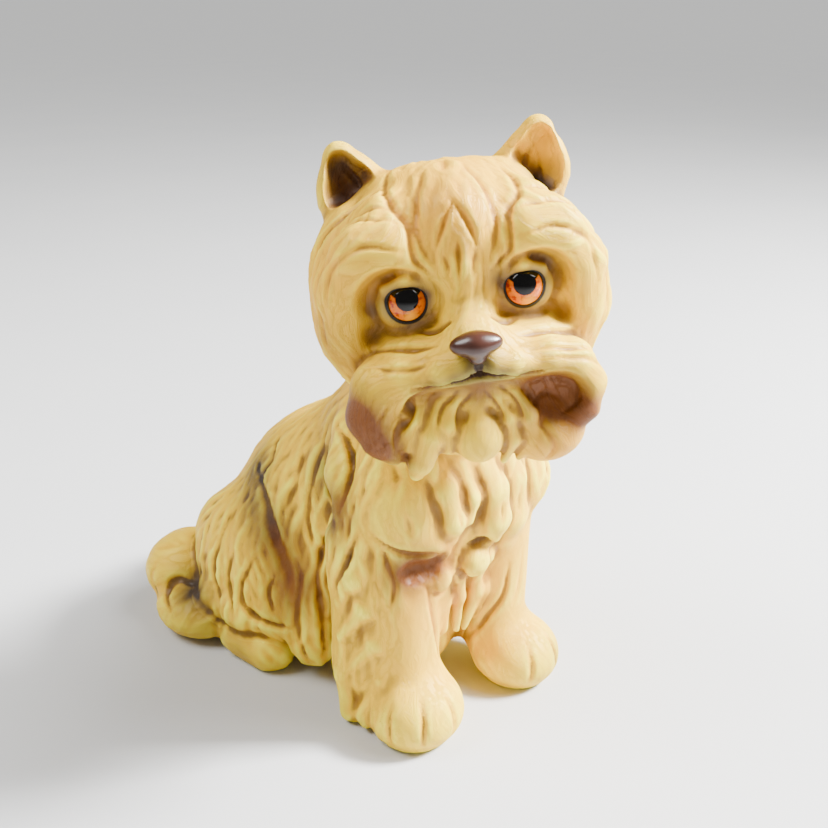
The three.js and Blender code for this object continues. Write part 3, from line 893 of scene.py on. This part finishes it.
# Stains over the ground: (attribute, colour, cover). The slate one runs into the grooves instead. The umber one
# also paints shadow under the chest's pads of hair and under the lower lip, and the slate one paints shade
# under the nose and the lip.
stainsAndShade = [("peach", "#e0981c", 1.0), ("slate", "#3a2c20", None), ("umber", "#6e3a00", 1.4)]
# Round each eye: (colour, mm from its middle where it starts, where it is full, cover).
eyeRims = [("#564c44", 6.2, 4.8, 0.6), ("#0d0b0a", 4.75, 4.6, 1.0)]


# Bisque: slip-cast porcelain fired without a glaze, then sprayed and wiped with matt overglaze enamel.
# The eye sees a soft, slightly waxy skin with no mirror shine, bright on the ridges where a painted highlight
# joins the wiping, brown in the grooves where painted shade joins the enamel.
def bisqueMaterial():
    tree, material = startMaterial("bisque")
    skin = tree.nodes["Principled BSDF"]
    place = add(tree, "ShaderNodeNewGeometry").outputs["Position"]
    cloud = add(tree, "ShaderNodeTexNoise", {"Vector": place, "Scale": 1 / (bisqueLook["cloud"] * mm),
                                             "Detail": 3})
    hollow = add(tree, "ShaderNodeAttribute", attribute_name="hollow").outputs["Fac"]
    shelter = add(tree, "ShaderNodeAttribute", attribute_name="shelter").outputs["Fac"]
    follows = [  # (colour, what it follows, where it starts, where it is full, cover)
        ("#fff03c", hollow, -0.02, -0.2, 0.8),  # painted highlight on the ridges, where the enamel was also wiped thin
        ("#ab8018", shelter, 0.3, 1, 0.5),  # painted shade in sheltered places, along with the enamel the cloth did not reach
        ("#8e6006", hollow, 0.015, 0.12, 0.85),  # painted shade in the grooves, along with the enamel gathered there
        ("#462a06", hollow, 0.1, 0.38, 0.8),  # darker painted shade in the deepest of them
    ]
    coatsAndShade = []
    for paint, guide, start, full, cover in follows:
        amount = add(tree, "ShaderNodeMapRange", {"Value": guide, "From Min": start, "From Max": full,
                                                  "To Max": cover})
        coatsAndShade.append((paint, amount.outputs["Result"]))
    pooled = add(tree, "ShaderNodeMapRange", {"Value": hollow, "From Min": -0.12, "From Max": 0.14,
                                              "To Min": bisqueLook["thin"], "To Max": bisqueLook["pooled"]})
    for name, paint, cover in stainsAndShade:
        spray = add(tree, "ShaderNodeAttribute", attribute_name=name).outputs["Fac"]
        amount = add(tree, "ShaderNodeMath", {0: spray, 1: cover or pooled.outputs["Result"]},
                     operation="MULTIPLY", use_clamp=True)
        coatsAndShade.append((paint, amount.outputs[0]))
    onFace = add(tree, "ShaderNodeAttribute", attribute_name="facePlace").outputs["Vector"]
    for side in (-1, 1):
        middle = (side * eyePlace[0], eyePlace[1], eyePlace[2])
        reach = add(tree, "ShaderNodeVectorMath", {0: onFace, 1: middle},
                    operation="DISTANCE").outputs["Value"]
        for paint, start, full, cover in eyeRims:
            amount = add(tree, "ShaderNodeMapRange", {"Value": reach, "From Min": start, "From Max": full,
                                                      "To Max": cover})
            coatsAndShade.append((paint, amount.outputs["Result"]))
    light, dark = bisqueLook["clay"]
    base = add(tree, "ShaderNodeMix", {6: colour(light), 7: colour(dark), 0: cloud.outputs["Fac"]},
               data_type="RGBA")
    for paint, amount in coatsAndShade:
        base = add(tree, "ShaderNodeMix", {6: base.outputs[2], 7: colour(paint), 0: amount}, data_type="RGBA")
    tree.links.new(base.outputs[2], skin.inputs["Base Color"])
    # flow is mm across and along a strand, and the strand's number, which sets its marks apart.
    flow = add(tree, "ShaderNodeAttribute", attribute_name="flow").outputs["Vector"]
    perMm = (1 / bisqueLook["brushLine"], 1 / bisqueLook["brushStroke"], 3.0)
    fine = add(tree, "ShaderNodeVectorMath", {0: flow, 1: perMm}, operation="MULTIPLY")
    lines = add(tree, "ShaderNodeTexNoise", {"Vector": fine.outputs[0], "Scale": 1, "Detail": 2})
    bump = add(tree, "ShaderNodeBump", {"Height": lines.outputs["Fac"], "Strength": 0.6,
                                        "Distance": bisqueLook["brushDepth"] * mm})
    tree.links.new(bump.outputs[0], skin.inputs["Normal"])
    skin.inputs["Roughness"].default_value = bisqueLook["roughness"]
    skin.inputs["Specular IOR Level"].default_value = 0.3
    skin.inputs["Subsurface Weight"].default_value = 0.08
    skin.inputs["Subsurface Radius"].default_value = (1.0 * mm, 0.9 * mm, 0.6 * mm)
    skin.inputs["Subsurface Scale"].default_value = 1.0
    return material


irisLook = {"amber": "#d86a00", "rust": "#962200", "blotch": 1.11}  # blotch is mm across the rust patches
# Painted in this order: (colour, centre in mm from the middle of the eye, where it starts, where it is full).
eyePaint = [
    ("#ee9c10", (0.4, 0, -2.6), 1.8, 0.5),  # light at the foot of the iris
    ("#15110f", (0, 0, -0.05), 3.2, 3.35),  # the rim outside it
    ("#050404", (0, 0, 0.75), 2.15, 2.0),  # pupil
    ("#050404", (0, 0, 4.2), 3.7, 3.5),  # shade under the upper lid
]


# Overglaze enamel brushed on and fired to a gloss: deep black and amber with small hard highlights.
def paintedEyeMaterial():
    tree, material = startMaterial("paintedEye")
    glaze = tree.nodes["Principled BSDF"]
    spot = add(tree, "ShaderNodeAttribute", attribute_name="facePlace").outputs["Vector"]
    noise = add(tree, "ShaderNodeTexNoise", {"Vector": spot, "Scale": 1 / irisLook["blotch"], "Detail": 3})
    patches = add(tree, "ShaderNodeMapRange", {"Value": noise.outputs["Fac"], "From Min": 0.5,
                                               "From Max": 0.66})
    base = add(tree, "ShaderNodeMix", {6: colour(irisLook["amber"]), 7: colour(irisLook["rust"]),
                                       0: patches.outputs["Result"]}, data_type="RGBA")
    for paint, centre, start, full in eyePaint:
        reach = add(tree, "ShaderNodeVectorMath", {0: spot, 1: centre}, operation="DISTANCE").outputs["Value"]
        amount = add(tree, "ShaderNodeMapRange", {"Value": reach, "From Min": start, "From Max": full})
        base = add(tree, "ShaderNodeMix", {6: base.outputs[2], 7: colour(paint), 0: amount.outputs["Result"]},
                   data_type="RGBA")
    tree.links.new(base.outputs[2], glaze.inputs["Base Color"])
    glaze.inputs["Roughness"].default_value = 0.08
    glaze.inputs["Specular IOR Level"].default_value = 0.3
    return material


noseLook = {
    "enamel": ("#2e150d", "#43241a"),
    "cloud": 2.5, "pores": 0.4, "poreDepth": 0.1,  # mm; the orange-peel is finer on a real one
    "roughness": 0.3,
}


# Brown overglaze enamel, fired: a satin gloss with broad soft highlights over a faint orange-peel.
def noseMaterial():
    tree, material = startMaterial("noseEnamel")
    glaze = tree.nodes["Principled BSDF"]
    place = add(tree, "ShaderNodeNewGeometry").outputs["Position"]
    cloud = add(tree, "ShaderNodeTexNoise", {"Vector": place, "Scale": 1 / (noseLook["cloud"] * mm),
                                             "Detail": 3})
    deep, light = noseLook["enamel"]
    base = add(tree, "ShaderNodeMix", {6: colour(deep), 7: colour(light), 0: cloud.outputs["Fac"]},
               data_type="RGBA")
    tree.links.new(base.outputs[2], glaze.inputs["Base Color"])
    pores = add(tree, "ShaderNodeTexNoise", {"Vector": place, "Scale": 1 / (noseLook["pores"] * mm),
                                             "Detail": 2})
    bump = add(tree, "ShaderNodeBump", {"Height": pores.outputs["Fac"], "Strength": 0.2,
                                        "Distance": noseLook["poreDepth"] * mm})
    tree.links.new(bump.outputs[0], glaze.inputs["Normal"])
    glaze.inputs["Roughness"].default_value = noseLook["roughness"]
    return material


eyeball = {  # mm
    "radius": 4.4,
    "bulge": 0.25,  # how far the iris stands out
    "irisAngle": 48,  # degrees from the middle of the iris to its edge
    "rings": 40, "spokes": 64,
}


def eyePiece(side, material):
    rings, spokes = eyeball["rings"], eyeball["spokes"]
    polar = np.linspace(0, math.pi, rings + 1)[1:-1]
    dome = np.clip(1 - polar / math.radians(eyeball["irisAngle"]), 0, 1)
    radius = eyeball["radius"] + eyeball["bulge"] * (1 - (1 - dome) ** 3)
    turn = np.arange(spokes) * 2 * math.pi / spokes
    local = np.stack([
        np.outer(radius * np.sin(polar), np.cos(turn)), np.outer(-radius * np.cos(polar), np.ones(spokes)),
        np.outer(radius * np.sin(polar), np.sin(turn))], axis=2).reshape(-1, 3)
    front = [0, -(eyeball["radius"] + eyeball["bulge"]), 0]
    local = np.concatenate([local, [front, [0, eyeball["radius"], 0]]])
    faces = []
    for i in range(rings - 2):
        for j in range(spokes):
            k = (j + 1) % spokes
            faces.append([i * spokes + j, (i + 1) * spokes + j, (i + 1) * spokes + k, i * spokes + k])
    last = (rings - 2) * spokes
    tips = [[len(local) - 2, j, (j + 1) % spokes] for j in range(spokes)]
    tips += [[len(local) - 1, last + (j + 1) % spokes, last + j] for j in range(spokes)]
    centre = eyePlace * [side, 1, 1]
    mesh = bpy.data.meshes.new("eye")
    mesh.from_pydata(((fromHead(local + centre) + shift) * mm).tolist(), [], faces + tips)
    mesh.shade_smooth()
    behind = np.maximum(local, 0) * [0, 3, 0]  # keeps the paint off the back of the ball
    keep(mesh, "facePlace", "FLOAT_VECTOR", local * [1, 0, 1] + behind)
    mesh.materials.append(material)
    piece = bpy.data.objects.new(("left" if side > 0 else "right") + "Eye", mesh)
    bpy.context.scene.collection.objects.link(piece)
    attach(piece, "root")
    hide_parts("left_eye" if side > 0 else "right_eye")


noseCasting = {"pitch": 0.25, "low": (-7, -34, -9), "high": (7, -24, 3)}  # mm, its box in the head's frame


def noseClay(points):
    return worked(toHead(points), noseSteps)


def nosePiece(material):
    corners = fromHead(boxCorners(noseCasting["low"], noseCasting["high"]))
    verts, quads = cast(noseClay, corners.min(0), corners.max(0), noseCasting["pitch"])
    piece = makeMesh("nose", verts, quads)
    piece.data.materials.append(material)
    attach(piece, "root")
    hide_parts("nose")


shelterReach = 3.5  # mm out from the skin at which other clay counts as sheltering it
shadeAndHighlightCover = {"leftEar": 0.4}  # painted pale inside, so it takes less of the painted shade and highlight
laps = {"edge": 2.0, "fall": 1.6}  # the hair dies away between 0.6 and 1.25 mm off the whole figure's skin


def castingPiece(part, verts, quads, strands, grooves, material):
    normals = slope(whole, verts)
    height, flow = lay(verts, normals, strands)
    for place, radius, amount, onHead in smooth:
        d2 = (((toHead(verts) if onHead else verts) - np.array(place)) ** 2).sum(1)
        height = height * (1 - amount * np.clip(hair["smoothEdge"] * (1 - d2 / radius**2), 0, 1))
    spread = spreader(quads, len(verts))
    height = (1 - hair["blur"]) * height + hair["blur"] * spread(height[:, None])[:, 0]
    height = height + lay(verts, normals, grooves)[0]
    skin = np.clip(laps["edge"] - laps["fall"] * np.abs(whole(verts)), 0, 1)
    standing = np.clip(verts[:, 2] / casting["sole"], 0, 1)  # the sole stays flat
    shaped = verts + normals * ((height - hair["settle"]) * skin * standing)[:, None]
    cover = shadeAndHighlightCover.get(part, 1)
    piece = makeMesh(part, shaped, quads)
    # hollow and shelter set where the bisque gets its painted highlight and painted shade
    keep(piece.data, "hollow", "FLOAT", cavity(shaped, normals, spread) * cover)
    keep(piece.data, "shelter", "FLOAT", (1 - whole(shaped + normals * shelterReach) / shelterReach) * cover)
    keep(piece.data, "flow", "FLOAT_VECTOR", flow)
    keep(piece.data, "facePlace", "FLOAT_VECTOR", toHead(shaped))
    for stain in airbrushAndShade:
        keep(piece.data, stain, "FLOAT", sprayedAndShaded(verts, stain))
    piece.data.materials.append(material)
    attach(piece, "root")
    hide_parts(nodeOf[part])
    print(part, "combed,", len(quads), "faces")


headParts = ("head", "rightEar", "leftEar")

eyeMaterial = paintedEyeMaterial()
for side in (-1, 1):
    eyePiece(side, eyeMaterial)
nosePiece(noseMaterial())
print("eyes and nose made")

blanks = {part: castPart(part) for part in castings}
print("castings made")


def seedsOn(parts):  # roots on those castings' share of the whole figure's skin
    verts = np.concatenate([blanks[part][0] for part in parts])
    return pickSeeds(verts[(np.abs(whole(verts)) < 0.2) & (verts[:, 2] > 1)], hair["seedGap"])


bodyPlaces, bodyValues = asComb(bodyComb, False)
headPlaces, headValues = asComb(headComb, True)
bodySeeds = seedsOn([part for part in castings if part not in headParts])
headSeeds = seedsOn([part for part in castings if part in headParts])
bodyStrands = growStrands(bodySeeds, bodyPlaces, bodyValues)
headStrands = growStrands(headSeeds, headPlaces, headValues)
print(len(bodyStrands) + len(headStrands), "strands combed")

grooves = [(laid(stops, onHead), width, depth, "groove")
           for made, onHead in ((bodyGrooves, False), (headGrooves, True)) for stops, width, depth in made]
bisque = bisqueMaterial()
for part, (verts, quads) in blanks.items():
    castingPiece(part, verts, quads, headStrands if part in headParts else bodyStrands, grooves, bisque)

studio = {  # metres, watts
    "floor": 40.0,  # half the width of the floor
    "board": ("#bcbdbe", "#c2c2c1"), "boardCloud": 0.083,
    "air": "#e8e6e2", "airStrength": 0.38,
    "sun": {"from": (0.5, -0.4, 0.75), "strength": 4.2, "angle": 0.6},
    "lamps": {  # (where it stands from the figure's middle, size, power)
        "key": ((0.42, -0.32, 0.42), 0.14, 34),
        "top": ((-0.35, 0.2, 0.5), 0.3, 5),
    },
}


# Emulsion rolled on board: matt, pale and nearly even.
def boardMaterial():
    tree, material = startMaterial("paintedBoard")
    place = add(tree, "ShaderNodeNewGeometry").outputs["Position"]
    cloud = add(tree, "ShaderNodeTexNoise", {"Vector": place, "Scale": 1 / studio["boardCloud"], "Detail": 2})
    dark, light = studio["board"]
    tone = add(tree, "ShaderNodeMix", {6: colour(dark), 7: colour(light), 0: cloud.outputs["Fac"]},
               data_type="RGBA")
    paint = tree.nodes["Principled BSDF"]
    tree.links.new(tone.outputs[2], paint.inputs["Base Color"])
    paint.inputs["Roughness"].default_value = 0.8
    return material


half = studio["floor"]
floorMesh = bpy.data.meshes.new("floor")
floorMesh.from_pydata([(-half, -half, 0), (half, -half, 0), (half, half, 0), (-half, half, 0)], [],
                      [(0, 1, 2, 3)])
floorMesh.materials.append(boardMaterial())
floor = bpy.data.objects.new("floor", floorMesh)
bpy.context.scene.collection.objects.link(floor)

world = bpy.data.worlds.new("studio")
bpy.context.scene.world = world
world.use_nodes = True
world.node_tree.nodes["Background"].inputs["Color"].default_value = colour(studio["air"])
world.node_tree.nodes["Background"].inputs["Strength"].default_value = studio["airStrength"]

middle = Vector((shift + [0, 0, 65]) * mm)
for name, (offset, size, watts) in studio["lamps"].items():
    lamp = bpy.data.objects.new(name, bpy.data.lights.new(name, "AREA"))
    lamp.data.size = size
    lamp.data.energy = watts
    lamp.location = middle + Vector(offset)
    lamp.rotation_euler = Vector(offset).to_track_quat("Z", "Y").to_euler()
    bpy.context.scene.collection.objects.link(lamp)
sun = bpy.data.objects.new("sun", bpy.data.lights.new("sun", "SUN"))
sun.data.energy = studio["sun"]["strength"]
sun.data.angle = studio["sun"]["angle"]
sun.rotation_euler = Vector(studio["sun"]["from"]).to_track_quat("Z", "Y").to_euler()
bpy.context.scene.collection.objects.link(sun)

view = {"azimuth": -42, "elevation": 22, "distance": 230, "lens": 45.65}  # degrees, mm
camera = bpy.data.objects.new("camera", bpy.data.cameras.new("camera"))
a, e = math.radians(view["azimuth"]), math.radians(view["elevation"])
away = Vector((math.sin(a) * math.cos(e), -math.cos(a) * math.cos(e), math.sin(e)))
camera.location = middle + away * view["distance"] * mm
camera.rotation_euler = away.to_track_quat("Z", "Y").to_euler()
camera.data.lens = view["lens"]
camera.data.clip_start = 0.01
bpy.context.scene.collection.objects.link(camera)
bpy.context.scene.camera = camera
print("floor, lights and camera set")
